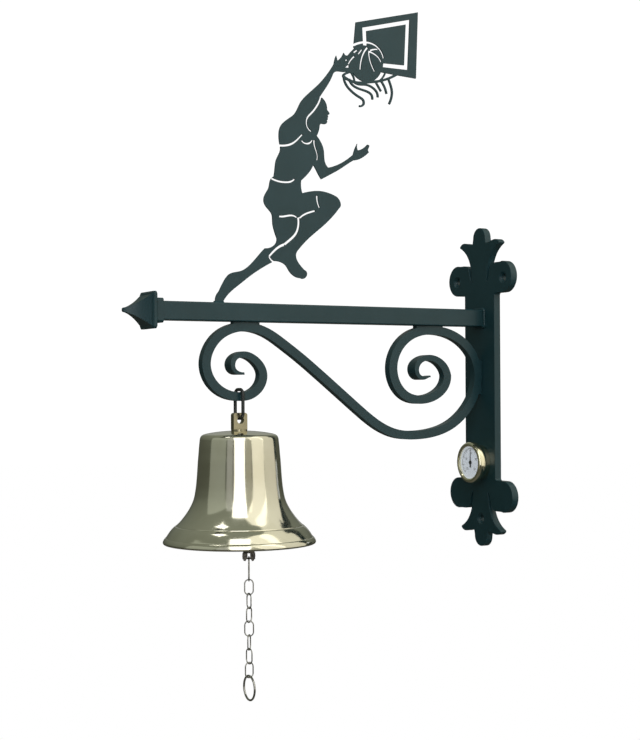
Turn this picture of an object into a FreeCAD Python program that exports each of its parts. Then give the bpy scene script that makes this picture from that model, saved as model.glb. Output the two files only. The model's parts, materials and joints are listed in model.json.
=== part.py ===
import FreeCAD, Part
import math
import os

V = FreeCAD.Vector

# ---- frame: origin in the middle of the backplate's rear face, wall at X = 0, arm along -X, +Z up
# ---- all dimensions in millimetres
plate_t = 7.0
plate_bar_w = 47.5
plate_half_h = 150.8
lobe_r = 14.6
lobe_y = 35.7
lobe_z = 102.3
petal_r = 9.6
screw_y = 37.0
screw_z = 101.5
screw_low_z = -125.0
screw_r = 3.25
screw_sink_r = 5.3

arm_side = 16.0
arm_wall = 1.6
arm_corner = 1.2
arm_z = 64.8
arm_end = -334.5
arm_top = arm_z + arm_side / 2.0
arm_low = arm_z - arm_side / 2.0
plate_front = -plate_t

collar_side = 20.8
block_side = 31.1
block_x = -341.8
block_t = 4.4
tip_x = -367.4

bar_w = 8.0
flare_w = 13.0

figure_t = 1.5

bell_x = -260.5
bell_hole_r = 3.05
ring_wire_r = 1.5
ring_half_w = 7.6
ring_corner = 5.2
ring_top_in = -3.1
ring_low = -27.8
lug_w = 13.0
lug_t = 6.0
lug_top = -21.6
lug_hole_r = 3.2

hanger_eye_z = -57.6
hanger_eye_r = 2.3
clapper_wire_r = 1.1
clapper_ball_r = 13.0
clapper_ball_shift = -1.03
clapper_ball_z = -112.0
chain_x = -251.7
view_turn = -29.0
pin_z = -147.4
pin_r = 0.8
tail_r = 2.2
bend_top = -127.0
bend_drop = 11.4
fork_top = -139.6
link_wire_r = 0.55
link_len = 14.2
link_w = 8.6
link_gap = 0.1
link_turns = (90.0, 10.0, -60.0, 58.0, 0.0, 75.0, -48.0, 31.0)
pull_wire_r = 0.9
pull_r = 10.4
pull_turn = -61.0

gauge_z = -71.5
gauge_r = 19.6
gauge_case_r = 16.6
gauge_front = -21.3
gauge_dial_x = -18.3

parts = {}


def keep(name, shape):
    """Store a finished piece under its node name."""
    parts[name] = shape


def line(a, b):
    """Straight edge between two points."""
    return Part.makeLine(a, b)


def run(points):
    """One edge through the points: a line through two, a smooth curve through more."""
    if len(points) == 2:
        return line(points[0], points[1])
    spline = Part.BSplineCurve()
    spline.interpolate(points)
    return spline.toShape()


def chain_of(runs, lift):
    """Closed wire from runs of 2-D points, each run starting where the last one ended."""
    edges = []
    for points in runs:
        edges.append(run([lift(p) for p in points]))
    return Part.Wire(edges)


def flat(p):
    """A point of the sheet figure: drawn in X and Z on the sheet's front face."""
    return V(p[0], -figure_t / 2.0, p[1])


def polygon_solid(points):
    """Straight-sided piece of the sheet."""
    closed = [flat(p) for p in points] + [flat(points[0])]
    return Part.Face(Part.makePolygon(closed)).extrude(V(0, figure_t, 0))


def smooth_solid(runs):
    """Piece of the sheet with a curved outline."""
    return Part.Face(chain_of(runs, flat)).extrude(V(0, figure_t, 0))


def strip(points, width, end_width=None):
    """Narrow curved strip of the sheet along a centre line, thicker or thinner at its end."""
    last = width if end_width is None else end_width
    spline = Part.BSplineCurve()
    if len(points) == 2:
        mid = ((points[0][0] + points[1][0]) / 2.0, (points[0][1] + points[1][1]) / 2.0)
        points = [points[0], mid, points[1]]
    spline.interpolate([flat(p) for p in points])
    first = spline.FirstParameter
    span = spline.LastParameter - first
    count = 3 * len(points)
    left = []
    right = []
    for i in range(count + 1):
        share = i / float(count)
        u = first + span * share
        at = spline.value(u)
        along = spline.tangent(u)[0]
        half = (width + (last - width) * share) / 2.0
        side = V(-along.z, 0, along.x).multiply(half)
        left.append(at + side)
        right.append(at - side)
    back = list(reversed(right))
    edges = [run(left), line(left[-1], back[0]), run(back), line(back[-1], left[0])]
    return Part.Face(Part.Wire(edges)).extrude(V(0, figure_t, 0))


def slot(points, width, end_width=None):
    """Cutter for a narrow slot right through the sheet."""
    return strip(points, width, end_width)


def rounded_square(side, corner, x):
    """Closed square outline with round corners across the arm at the given X."""
    h = side / 2.0
    c = h - corner
    s = corner * math.sqrt(0.5)
    z = arm_z
    edges = []
    spots = ((1, 1), (-1, 1), (-1, -1), (1, -1))
    for i in range(4):
        a, b = spots[i]
        if i % 2 == 0:
            start = V(x, a * h, z + b * c)
            end = V(x, a * c, z + b * h)
        else:
            start = V(x, a * c, z + b * h)
            end = V(x, a * h, z + b * c)
        mid = V(x, a * (c + s), z + b * (c + s))
        edges.append(Part.Arc(start, mid, end).toShape())
    joined = []
    for i in range(4):
        joined.append(edges[i])
        after = edges[(i + 1) % 4]
        joined.append(line(edges[i].Vertexes[1].Point, after.Vertexes[0].Point))
    return Part.Wire(Part.__sortEdges__(joined))


def square_bar(side, corner, x0, x1):
    """Solid square bar across which the corners are rounded."""
    return Part.Face(rounded_square(side, corner, x0)).extrude(V(x1 - x0, 0, 0))


# ---------------------------------------------------------------- backplate
def plate_quarter():
    """Outline of the upper left quarter of the backplate, in Y and Z, side to crown."""
    half = plate_bar_w / 2.0
    low = lobe_z - lobe_r
    arc_mid = math.sqrt(0.5) * lobe_r
    at = lambda y, z: V(plate_front, y, z)
    fillet = Part.Arc(at(half, low - 2.0), at(half + 0.6, low - 0.6), at(half + 2.0, low)).toShape()
    edges = [line(at(half, 0), at(half, low - 2.0)), fillet]
    edges.append(line(at(half + 2.0, low), at(lobe_y, low)))
    lobe_side = at(lobe_y + lobe_r, lobe_z)
    edges.append(Part.Arc(at(lobe_y, low), at(lobe_y + arc_mid, lobe_z - arc_mid), lobe_side).toShape())
    lobe_top = at(lobe_y, lobe_z + lobe_r)
    edges.append(Part.Arc(lobe_side, at(lobe_y + arc_mid, lobe_z + arc_mid), lobe_top).toShape())
    edges.append(run([lobe_top, at(27.0, 116.4), at(20.0, 115.2), at(17.4, 113.0)]))
    edges.append(run([at(17.4, 113.0), at(16.2, 108.5), at(14.6, 103.5), at(13.2, 100.4)]))
    edges.append(Part.Arc(at(13.2, 100.4), at(12.3, 99.7), at(11.8, 100.8)).toShape())
    edges.append(run([at(11.8, 100.8), at(12.4, 106.0), at(13.5, 111.5), at(14.4, 115.2)]))
    edges.append(run([at(14.4, 115.2), at(16.8, 121.0), at(20.4, 126.2), at(25.0, 130.4), at(30.6, 133.6)]))
    edges.append(Part.Arc(at(30.6, 133.6), at(31.4, 134.8), at(30.6, 136.0)).toShape())
    edges.append(run([at(30.6, 136.0), at(28.2, 137.6), at(24.6, 138.2), at(19.0, 137.3), at(10.6, 136.1)]))
    petal_z = plate_half_h - petal_r
    s = petal_r * math.sqrt(0.5)
    edges.append(line(at(10.6, 136.1), at(petal_r, petal_z)))
    edges.append(Part.Arc(at(petal_r, petal_z), at(s, petal_z + s), at(0, plate_half_h)).toShape())
    return edges


def screw_hole(y, z):
    """Cutter for one countersunk screw hole through the backplate."""
    hole = Part.makeCylinder(screw_r, plate_t + 2.0, V(plate_front - 1.0, y, z), V(1, 0, 0))
    sink_depth = screw_sink_r - screw_r
    sink = Part.makeCone(screw_sink_r, screw_r, sink_depth, V(plate_front, y, z), V(1, 0, 0))
    return [hole, sink]


def make_backplate():
    """Flame-cut backplate with fleur-de-lis ends, four lobes and three screw holes."""
    quarter = plate_quarter()
    edges = []
    for e in quarter:
        edges.append(e)
        over = e.mirror(V(0, 0, 0), V(0, 1, 0))
        edges.append(over)
        edges.append(e.mirror(V(0, 0, 0), V(0, 0, 1)))
        edges.append(over.mirror(V(0, 0, 0), V(0, 0, 1)))
    outline = Part.Wire(Part.__sortEdges__(edges))
    solid = Part.Face(outline).extrude(V(plate_t, 0, 0))
    cutters = screw_hole(screw_y, screw_z) + screw_hole(-screw_y, screw_z)
    cutters += screw_hole(0.0, screw_low_z)
    solid = solid.cut(cutters)
    stud = Part.makeCylinder(2.05, plate_t + 2.0, V(plate_front - 1.0, 0, gauge_z), V(1, 0, 0))
    recess = Part.makeCylinder(5.2, 3.4, V(-3.4, 0, gauge_z), V(1, 0, 0))
    keep("backplate", solid.cut([stud, recess]).removeSplitter())


# ---------------------------------------------------------------- arm and finial
def make_arm():
    """Square tube welded to the backplate at one end, capped by the finial at the other."""
    outer = square_bar(arm_side, arm_corner, plate_front, arm_end)
    inner = square_bar(arm_side - 2.0 * arm_wall, 0.5, plate_front + 1.0, arm_end - 1.0)
    keep("arm_tube", outer.cut(inner))


def make_arm_weld():
    """Fillet weld bead round the root of the arm."""
    root = rounded_square(arm_side + 6.4, 3.0, plate_front)
    toe = rounded_square(arm_side + 0.8, 1.6, plate_front - 3.2)
    bead = Part.makeLoft([root, toe], True, True)
    tube = square_bar(arm_side, arm_corner, plate_front + 1.0, plate_front - 5.0)
    keep("arm_weld_bead", bead.cut(tube))


def plain_square(side, x):
    """Closed square outline with sharp corners across the arm at the given X."""
    h = side / 2.0
    corners = []
    for a, b in ((1, 1), (-1, 1), (-1, -1), (1, -1)):
        corners.append(V(x, a * h, arm_z + b * h))
    return Part.makePolygon(corners + [corners[0]])


def make_finial():
    """Cast pyramid finial: spigot, square collar, flat block and hollow-sided point."""
    bore = arm_side - 2.0 * arm_wall
    spigot = square_bar(bore - 0.1, 0.6, arm_end + 9.0, arm_end)
    collar = square_bar(collar_side, 2.4, arm_end, block_x)
    back = rounded_square(block_side - 2.4, 1.6, block_x)
    middle_a = rounded_square(block_side, 2.0, block_x - 1.0)
    middle_b = rounded_square(block_side, 2.0, block_x - block_t + 1.2)
    front = rounded_square(block_side - 3.2, 1.6, block_x - block_t)
    block = Part.makeLoft([back, middle_a], True, True)
    block = block.fuse(Part.makeLoft([middle_a, middle_b], True, True))
    block = block.fuse(Part.makeLoft([middle_b, front], True, True))
    base_x = block_x - block_t
    reach = base_x - tip_x
    sections = []
    for share in (0.0, 0.15, 0.32, 0.52, 0.72, 0.88, 0.955):
        side = (block_side - 5.0) * ((1.0 - share) ** 1.45) + 3.4 * share
        sections.append(plain_square(side, base_x - reach * share))
    point = Part.makeLoft(sections, True, False)
    cap = Part.makeLoft([sections[-1], plain_square(2.0, tip_x)], True, True)
    keep("finial", spigot.fuse([collar, block, point, cap]))


# ---------------------------------------------------------------- scroll
# centre line of the forged bar, X and Z, with its in-plane thickness and its width across
scroll_path = (
    (-257.6, 12.2, 2.2, 10.0),
    (-262.6, 12.4, 2.7, 12.0),
    (-267.4, 14.8, 3.6, flare_w),
    (-269.2, 19.6, 4.2, flare_w),
    (-266.8, 25.4, 4.6, 11.4),
    (-260.0, 28.5, 5.2, 9.4),
    (-250.4, 26.4, 6.4, 8.4),
    (-242.3, 19.6, 7.3, 8.0),
    (-238.9, 10.4, 7.8, 8.0),
    (-242.4, 0.6, 7.9, 8.0),
    (-251.6, -6.2, 7.8, 8.0),
    (-263.0, -7.6, 7.6, 8.0),
    (-276.6, -4.2, 7.8, 8.0),
    (-288.0, 5.4, 8.0, 8.0),
    (-292.9, 19.6, 8.0, 8.0),
    (-289.2, 34.0, 8.0, 8.0),
    (-278.4, 46.0, 8.0, 8.0),
    (-264.0, 51.8, 8.0, 8.0),
    (-254.6, 52.6, 8.0, 8.0),
    (-244.0, 51.0, 8.0, 8.0),
    (-232.2, 46.4, 8.0, 8.0),
    (-217.6, 37.3, 8.0, 8.0),
    (-202.3, 26.7, 8.0, 8.0),
    (-187.3, 15.4, 8.0, 8.0),
    (-172.3, 3.7, 8.0, 8.0),
    (-156.0, -9.2, 8.0, 8.0),
    (-140.0, -21.8, 8.0, 8.0),
    (-122.4, -34.2, 8.0, 8.0),
    (-103.0, -42.4, 8.0, 8.0),
    (-83.0, -44.3, 8.0, 8.0),
    (-62.0, -42.2, 8.0, 8.0),
    (-42.6, -35.6, 8.0, 8.0),
    (-26.4, -23.4, 8.0, 8.0),
    (-15.4, -7.4, 8.0, 8.0),
    (-11.5, 9.6, 8.0, 8.0),
    (-15.6, 27.4, 8.0, 8.0),
    (-28.0, 41.8, 8.0, 8.0),
    (-46.0, 50.4, 8.0, 8.0),
    (-64.6, 52.6, 8.0, 8.0),
    (-84.4, 48.6, 8.2, 8.0),
    (-99.2, 36.8, 8.4, 8.0),
    (-105.9, 19.0, 8.6, 8.0),
    (-102.2, 2.4, 8.6, 8.0),
    (-91.4, -8.4, 8.2, 8.0),
    (-76.0, -11.7, 7.8, 8.0),
    (-60.8, -8.4, 8.0, 8.0),
    (-49.4, 0.6, 8.2, 8.0),
    (-46.4, 10.4, 8.2, 8.0),
    (-51.6, 20.4, 7.2, 8.2),
    (-60.8, 26.0, 5.9, 8.8),
    (-70.0, 26.9, 5.2, 9.8),
    (-77.8, 23.8, 4.9, 11.6),
    (-82.0, 17.2, 4.8, flare_w),
    (-80.0, 10.6, 4.0, flare_w),
    (-73.6, 8.2, 3.0, 11.6),
    (-65.8, 9.8, 1.9, 9.6),
)


scroll_plain_from = 8
scroll_plain_to = 47


def scroll_centre():
    """Smooth centre line of the scroll and the parameter of each of its points."""
    points = [V(p[0], 0, p[1]) for p in scroll_path]
    marks = [0.0]
    for a, b in zip(points[:-1], points[1:]):
        marks.append(marks[-1] + math.sqrt(a.distanceToPoint(b)))
    spline = Part.BSplineCurve()
    spline.interpolate(Points=points, Parameters=marks)
    return spline, marks


def scroll_stations(first, last, steps):
    """Place, outward direction, thickness and width at stations along the bar."""
    spline, marks = scroll_centre()
    stations = []
    for i in range(first, last):
        for k in range(steps + (1 if i == last - 1 else 0)):
            share = k / float(steps)
            u = marks[i] + (marks[i + 1] - marks[i]) * share
            thick = scroll_path[i][2] + (scroll_path[i + 1][2] - scroll_path[i][2]) * share
            width = scroll_path[i][3] + (scroll_path[i + 1][3] - scroll_path[i][3]) * share
            along = spline.tangent(u)[0]
            stations.append((spline.value(u), V(-along.z, 0, along.x), thick, width))
    return stations


def scroll_end(first, last):
    """Drawn-out, flared end of the bar."""
    sections = []
    for at, out, thick, width in scroll_stations(first, last, 1):
        h = thick / 2.0
        w = width / 2.0
        points = []
        for a, b in ((h, w), (-h, w), (-h, -w), (h, -w)):
            points.append(at + V(out.x * a, b, out.z * a))
        sections.append(Part.makePolygon(points + [points[0]]))
    return Part.makeLoft(sections, True, False)


def make_scroll():
    """Forged scroll bracket: one square bar curled into a volute at each end."""
    left = []
    right = []
    half = bar_w / 2.0
    for at, out, thick, width in scroll_stations(scroll_plain_from, scroll_plain_to, 1):
        left.append(at + V(out.x * thick / 2.0, -half, out.z * thick / 2.0))
        right.append(at + V(-out.x * thick / 2.0, -half, -out.z * thick / 2.0))
    back = list(reversed(right))
    edges = [run(left), line(left[-1], back[0]), run(back), line(back[-1], left[0])]
    bar = Part.Face(Part.Wire(edges)).extrude(V(0, bar_w, 0))
    ends = [scroll_end(0, scroll_plain_from), scroll_end(scroll_plain_to, len(scroll_path) - 1)]
    keep("scroll_bar", bar.fuse(ends).removeSplitter())


def make_scroll_welds():
    """Weld fills where the scroll bar touches the arm twice and the backplate once."""
    scroll = parts["scroll_bar"]
    w = 3.3
    left = Part.makeBox(25.0, 2 * w, 3.4, V(-267.0, -w, arm_low - 3.4))
    right = Part.makeBox(29.0, 2 * w, 3.4, V(-80.0, -w, arm_low - 3.4))
    side = Part.makeBox(3.4, 2 * w, 32.0, V(plate_front - 3.4, -w, -7.0))
    keep("weld_left_volute", left.cut(scroll))
    keep("weld_right_volute", right.cut(scroll))
    keep("weld_scroll_to_plate", side.cut(scroll))


# ---------------------------------------------------------------- sheet figure
body_outline = (
    ((-283, 72.9), (-282, 79), (-279.5, 82.5)),
    ((-279.5, 82.5), (-275, 91), (-269, 98), (-258, 101), (-250, 106), (-244, 112), (-235, 121.5)),
    ((-235, 121.5), (-231, 122), (-224, 127), (-223.5, 131)),
    ((-223.5, 131), (-226, 137.5), (-227.5, 144), (-228.5, 152), (-233, 157), (-236, 162)),
    ((-236, 162), (-235, 168), (-231, 175), (-230, 180), (-226, 185)),
    ((-226, 185), (-225, 192), (-223.5, 200), (-220, 207), (-220, 213)),
    ((-220, 213), (-221, 222), (-219.5, 229), (-214, 235), (-207, 240)),
    ((-207, 240), (-203, 245), (-200, 251), (-190, 262), (-180, 271), (-172, 280), (-165, 290)),
    ((-165, 290), (-164, 294.5), (-162.6, 298)),
    ((-162.6, 298), (-161.4, 293.5)),
    ((-161.4, 293.5), (-158.6, 295.6), (-154.8, 301.4)),
    ((-154.8, 301.4), (-152.6, 299.2), (-150, 300)),
    ((-150, 300), (-146.4, 304), (-142, 308)),
    ((-142, 308), (-136, 304)),
    ((-136, 304), (-138, 288)),
    ((-138, 288), (-147, 286), (-155, 284), (-163, 283.5), (-166, 281)),
    ((-166, 281), (-170, 273), (-174, 267), (-179.3, 259.6)),
    ((-179.3, 259.6), (-177.2, 258.4)),
    ((-177.2, 258.4), (-174.6, 256), (-172.8, 252.6), (-172.3, 249.2)),
    ((-172.3, 249.2), (-171.4, 247.2), (-169.9, 245), (-170.2, 244.2)),
    ((-170.2, 244.2), (-171.9, 243.4)),
    ((-171.9, 243.4), (-171.2, 242.2), (-172, 240.9)),
    ((-172, 240.9), (-171.6, 239.9), (-172.6, 238.8)),
    ((-172.6, 238.8), (-172.4, 236.8), (-174.2, 235.2), (-178, 235.2), (-180, 233.4)),
    ((-180, 233.4), (-180.8, 229), (-183, 224)),
    ((-183, 224), (-179, 219), (-176, 212), (-175, 202), (-171.5, 196.5)),
    ((-171.5, 196.5), (-160, 200.5), (-150, 206.5), (-145.5, 210)),
    ((-145.5, 210), (-143.8, 215), (-141, 220.4)),
    ((-141, 220.4), (-141.4, 216.5), (-140.6, 214.4)),
    ((-140.6, 214.4), (-136, 216), (-130.4, 220.4)),
    ((-130.4, 220.4), (-128.4, 219.2), (-129.6, 216.4), (-128.6, 213.6)),
    ((-128.6, 213.6), (-134, 209.2), (-140, 206), (-145, 205)),
    ((-145, 205), (-150, 202), (-160, 195.5), (-170, 190), (-178.5, 185.5)),
    ((-178.5, 185.5), (-181, 189), (-184, 194), (-186.5, 198)),
    ((-186.5, 198), (-190, 192), (-194, 187.5), (-199, 183)),
    ((-199, 183), (-199.2, 178), (-198, 172)),
    ((-198, 172), (-190, 174), (-180, 175), (-170, 173.5), (-163, 171)),
    ((-163, 171), (-159.4, 167), (-158.6, 163.8), (-160.4, 160.6)),
    ((-160.4, 160.6), (-168, 152), (-178, 143), (-190, 133.5), (-198, 126), (-203, 120.5)),
    ((-203, 120.5), (-204.5, 116), (-202, 110), (-196.2, 104)),
    ((-196.2, 104), (-193.4, 100.4), (-194.8, 97.4), (-200, 96.5)),
    ((-200, 96.5), (-207, 98.5), (-211, 102), (-215, 107.5), (-220, 110), (-226, 110.6)),
    ((-226, 110.6), (-240, 103), (-250, 96.5), (-260, 89), (-270, 81), (-276, 72.9)),
    ((-276, 72.9), (-283, 72.9)),
)

figure_slots = (
    (((-178.6, 259.4), (-183, 250), (-188, 244), (-192.4, 239), (-193.2, 234), (-188.5, 227.5)), 2.0, 1.4),
    (((-222, 212.6), (-214, 213), (-207, 215.5), (-202, 219.5), (-197.5, 224)), 1.9, 1.3),
    (((-198, 218.5), (-195, 216.5), (-191.5, 216.5), (-187.5, 220)), 1.5, 1.3),
    (((-185.5, 220), (-184.5, 213), (-182.5, 207), (-183, 202)), 1.8, 1.2),
    (((-228.5, 183), (-222, 181), (-215, 180.5), (-209, 181.5), (-205.5, 184)), 1.9, 1.3),
    (((-183, 170.5), (-182.5, 165), (-180.5, 160)), 1.9, 1.5),
    (((-221, 150.2), (-213, 151), (-207, 151.5), (-203.4, 149.9)), 1.6, 1.5),
    (((-200.6, 149.5), (-196, 153), (-190, 155.5), (-185, 157)), 1.6, 1.3),
    (((-202, 150), (-202, 142), (-204, 136.5), (-209, 131), (-216, 125.5)), 2.4, 2.2),
    (((-216, 125.5), (-221, 123.4), (-227, 118.6), (-231, 114.6)), 2.2, 1.9),
    (((-231, 114.6), (-229.4, 112), (-226, 109.6)), 1.5, 1.9),
)

board_outline = (
    (-142, 330.5), (-75, 348), (-77.5, 286), (-100, 287), (-116, 288), (-122, 300), (-144.4, 307.4),
)
board_window = (
    (-135.3, 326.5), (-84, 340), (-86.5, 293), (-113.6, 292.8), (-113, 296.5),
    (-90.5, 297), (-88.5, 335), (-130.7, 324), (-130.2, 310.5), (-134.5, 310.5),
)

ball_x = -131.5
ball_z = 294.6
ball_r = 17.2

ball_slots = (
    (((-144.6, 309.4), (-137, 312.6), (-129, 313.6), (-120.5, 311.4), (-115, 306.4), (-112.8, 301)), 2, 1.7),
    (((-129.6, 309), (-134, 303), (-136.5, 296), (-137.6, 288)), 1.8, 1.6),
    (((-128.2, 305.4), (-127.6, 299.6), (-125.5, 293.5), (-122.4, 288)), 1.8, 1.6),
    (((-128.8, 305.8), (-124, 304.5), (-118.4, 301.4), (-115.4, 297.4)), 1.8, 1.6),
    (((-127, 306.4), (-123, 308), (-118.6, 308.5)), 1.3, 1.2),
    (((-143.5, 299.5), (-147, 296), (-150, 291.4)), 1.3, 1.3),
    (((-144.4, 302.6), (-140.6, 305.4)), 1.2, 1.2),
    (((-139.5, 301.6), (-135.6, 306.6)), 1.2, 1.2),
    (((-151.4, 295.8), (-152.8, 294.2)), 1.3, 1.3),
)
hand_window = ((-153.4, 288.2), (-149.6, 291.4), (-149.2, 288.4))

rim_strips = (
    (((-155.8, 280.6), (-150, 277.6), (-140, 275.9), (-130, 277.3), (-120, 279), (-109, 282.4)), 2.2, 2.3),
    (((-109.4, 282.2), (-104, 284.6), (-99, 287.4)), 2.3, 2.4),
    (((-155.8, 280.6), (-151, 283.8), (-144, 285.6)), 2.0, 2.4),
    (((-148.4, 285.6), (-145, 281.5), (-143.4, 276.6)), 1.5, 1.5),
    (((-134, 283), (-131.6, 280), (-130.8, 277)), 1.5, 1.5),
    (((-123.4, 279.6), (-121.6, 284), (-119, 290.4)), 1.5, 1.5),
    (((-118, 279.4), (-112.6, 284.4), (-110.4, 289)), 1.5, 1.5),
    (((-121.6, 284.6), (-116.6, 288.6), (-106, 288.6)), 1.6, 2.2),
)

net_strips = (
    (((-154.8, 280), (-151.5, 271.8), (-146, 267), (-139.5, 263.4), (-134.4, 260.4), (-134.2, 256.6)), 1.8, 2),
    (((-134.2, 256.8), (-136.4, 255), (-138.8, 254.8)), 2.0, 1.6),
    (((-149, 278.6), (-146, 273.6), (-140, 270.8), (-131, 269), (-126, 266.6), (-124.8, 262)), 1.8, 1.9),
    (((-145, 277), (-137.6, 274.4), (-130.6, 274.8), (-125, 273.2), (-120.6, 270), (-119, 264.6)), 1.7, 1.9),
    (((-121.4, 279), (-118, 274), (-115.4, 270.4)), 1.7, 1.8),
    (((-116, 280.6), (-112, 275.4), (-109.5, 268.6)), 1.8, 1.9),
    (((-107.6, 283), (-105, 277), (-103.6, 271), (-104.6, 264.5), (-106.8, 259.6)), 1.9, 2.0),
)


def make_figure():
    """Laser-cut sheet: a player, a ball on the rim, the net and the backboard in one piece."""
    sheet = smooth_solid(body_outline)
    centre = V(ball_x, -figure_t / 2.0, ball_z)
    ball = Part.makeCylinder(ball_r, figure_t, centre, V(0, 1, 0))
    board = polygon_solid(board_outline)
    strips = []
    for points, width, end_width in rim_strips + net_strips:
        strips.append(strip(points, width, end_width))
    sheet = sheet.fuse([ball, board] + strips)
    cutters = [polygon_solid(board_window), polygon_solid(hand_window)]
    for points, width, end_width in figure_slots + ball_slots:
        cutters.append(slot(points, width, end_width))
    sheet = sheet.cut(cutters).removeSplitter()
    keep("figure_sheet", max(sheet.Solids, key=lambda s: s.Volume))


def make_figure_weld():
    """Weld bead along both sides of the figure's foot on top of the arm."""
    half = figure_t / 2.0
    beads = []
    for side in (-1, 1):
        a = V(-284.0, side * half, arm_top)
        b = V(-284.0, side * (half + 1.7), arm_top)
        c = V(-284.0, side * half, arm_top + 1.7)
        face = Part.Face(Part.makePolygon([a, b, c, a]))
        beads.append(face.extrude(V(9.0, 0, 0)))
    keep("figure_weld_beads", Part.makeCompound(beads))


# ---------------------------------------------------------------- loops of wire
def wire_loop(half_w, low, high, corner, wire, centre, turn):
    """Closed loop of round wire standing upright, its width turned about the vertical."""
    pieces = []
    inner_w = half_w - corner
    spots = ((inner_w, high - corner, 0.0), (-inner_w, high - corner, 90.0))
    spots += ((-inner_w, low + corner, 180.0), (inner_w, low + corner, 270.0))
    for u, z, start in spots:
        disc = Part.Face(Part.Wire(Part.makeCircle(wire, V(u + corner, 0, z), V(0, 0, 1))))
        disc.rotate(V(u, 0, z), V(0, -1, 0), start)
        pieces.append(disc.revolve(V(u, 0, z), V(0, -1, 0), 90.0))
    tall = high - low - 2.0 * corner
    if tall > 0.01:
        for u in (half_w, -half_w):
            pieces.append(Part.makeCylinder(wire, tall, V(u, 0, low + corner), V(0, 0, 1)))
    if inner_w > 0.01:
        for z in (low, high):
            pieces.append(Part.makeCylinder(wire, 2.0 * inner_w, V(-inner_w, 0, z), V(1, 0, 0)))
    loop = pieces[0].fuse(pieces[1:]).removeSplitter()
    loop.rotate(V(0, 0, 0), V(0, 0, 1), turn)
    loop.translate(centre)
    return loop


def make_ring():
    """Steel wire ring that hangs on the scroll and carries the bell."""
    low = ring_low + ring_wire_r
    high = ring_top_in + ring_wire_r
    ring = wire_loop(ring_half_w, low, high, ring_corner, ring_wire_r, V(bell_x, 0, 0), 90.0)
    keep("suspension_ring", ring)


# ---------------------------------------------------------------- bell
shell_outside = (
    (bell_hole_r, -37.0), (12.0, -37.3), (22.0, -38.3), (29.6, -39.7), (32.6, -41.2), (33.9, -43.6),
    (34.5, -49.4), (35.6, -62.3), (36.8, -79.5), (37.8, -88.1), (39.7, -96.7), (43.9, -105.3),
    (50.1, -113.6), (54.6, -118.2),
)
shell_band = ((55.6, -118.5), (59.6, -122.8), (63.2, -128.2))
shell_lip = ((63.9, -128.5), (65.6, -131.0), (65.9, -132.6))
shell_inside = (
    (62.4, -133.4), (59.0, -127.0), (52.6, -119.6), (46.4, -112.8), (40.6, -104.8), (36.7, -96.0),
    (34.8, -87.6), (33.8, -79.0), (32.6, -62.0), (31.6, -50.0), (30.9, -45.0), (28.0, -42.8),
    (21.0, -41.4), (12.0, -40.4), (bell_hole_r, -40.1),
)


def make_shell():
    """Turned brass bell shell with a drilled crown and a thickened, rounded lip."""
    at = lambda p: V(p[0], 0, p[1])
    edges = [run([at(p) for p in shell_outside])]
    edges.append(line(at(shell_outside[-1]), at(shell_band[0])))
    edges.append(run([at(p) for p in shell_band]))
    edges.append(line(at(shell_band[-1]), at(shell_lip[0])))
    edges.append(run([at(p) for p in shell_lip]))
    edges.append(Part.Arc(at(shell_lip[-1]), at((64.4, -133.9)), at(shell_inside[0])).toShape())
    edges.append(run([at(p) for p in shell_inside]))
    edges.append(line(at(shell_inside[-1]), at(shell_outside[0])))
    shell = Part.Face(Part.Wire(edges)).revolve(V(0, 0, 0), V(0, 0, 1), 360.0)
    shell.translate(V(bell_x, 0, 0))
    keep("bell_shell", shell)


def make_hanger():
    """Brass lug with an eye above the crown and a threaded stud and eye below it."""
    top_c = 2.2
    low = -36.2
    edges = []
    h = lug_w / 2.0
    f = -lug_t / 2.0
    at = lambda x, z: V(bell_x + x, f, z)
    s = top_c * (1.0 - math.sqrt(0.5))
    shoulder = lug_top - top_c
    edges.append(line(at(-h, low), at(-h, shoulder)))
    edges.append(Part.Arc(at(-h, shoulder), at(-h + s, lug_top - s), at(-h + top_c, lug_top)).toShape())
    edges.append(line(at(-h + top_c, lug_top), at(h - top_c, lug_top)))
    edges.append(Part.Arc(at(h - top_c, lug_top), at(h - s, lug_top - s), at(h, shoulder)).toShape())
    edges.append(line(at(h, shoulder), at(h, low)))
    edges.append(line(at(h, low), at(-h, low)))
    lug = Part.Face(Part.Wire(edges)).extrude(V(0, lug_t, 0))
    hole_z = ring_low + 2.0 * ring_wire_r + 0.1 - lug_hole_r
    hole = Part.makeCylinder(lug_hole_r, lug_t + 2.0, V(bell_x, f - 1.0, hole_z), V(0, 1, 0))
    lug = lug.cut(hole)
    foot = Part.makeCylinder(7.0, 1.2, V(bell_x, 0, -37.0), V(0, 0, 1))
    stud = Part.makeCylinder(3.0, 15.0, V(bell_x, 0, -52.0), V(0, 0, 1))
    tab = Part.makeBox(9.0, 3.0, 9.5, V(bell_x - 4.5, -1.5, -61.5))
    eye = Part.makeCylinder(hanger_eye_r, 5.0, V(bell_x, -2.5, hanger_eye_z), V(0, 1, 0))
    keep("bell_hanger", lug.fuse([foot, stud, tab]).cut(eye).removeSplitter())


def make_crown_fasteners():
    """Washer and hexagon nut that clamp the crown from inside."""
    washer = Part.makeCylinder(8.0, 1.2, V(bell_x, 0, -41.5), V(0, 0, 1))
    bore = Part.makeCylinder(3.1, 3.0, V(bell_x, 0, -42.5), V(0, 0, 1))
    keep("crown_washer", washer.cut(bore))
    points = []
    for i in range(7):
        a = math.radians(60.0 * i)
        points.append(V(bell_x + 5.8 * math.cos(a), 5.8 * math.sin(a), -46.3))
    nut = Part.Face(Part.makePolygon(points)).extrude(V(0, 0, 4.7))
    keep("crown_nut", nut.cut(Part.makeCylinder(3.05, 8.0, V(bell_x, 0, -48.0), V(0, 0, 1))))


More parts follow.
